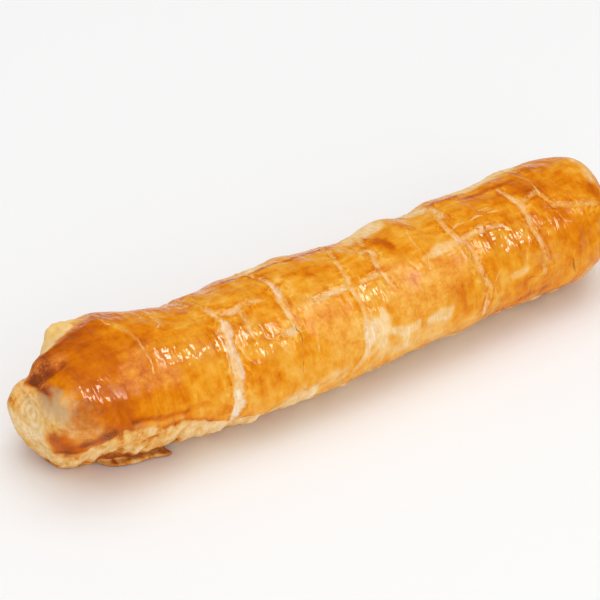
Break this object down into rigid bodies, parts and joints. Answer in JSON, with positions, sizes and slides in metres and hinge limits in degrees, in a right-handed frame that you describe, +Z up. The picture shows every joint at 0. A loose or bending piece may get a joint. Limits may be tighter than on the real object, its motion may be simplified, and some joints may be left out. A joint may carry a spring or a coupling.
{
  "type": "almond pastry log",
  "caption": "Whole baked roll of puff pastry with a glazed golden crust torn across by its rise, pale tucked-in ends and a flat underside, eaten in slices.",
  "frame": {"origin": "middle of the bounding box, on the surface the log lies on", "axes": "+X along the log towards its plain end, -X towards the pinched end with the burnt nose, -Y towards the side with the open tears, +Z up"},
  "size_m": [0.271, 0.0674, 0.049],
  "materials": {
    "crust": "egg-glazed baked crust, golden brown, glossy on top and matt and paler in the tears and at the ends"
  },
  "bodies": {
    "root": {"pastry_log": "crust"}
  },
  "joints": []
}
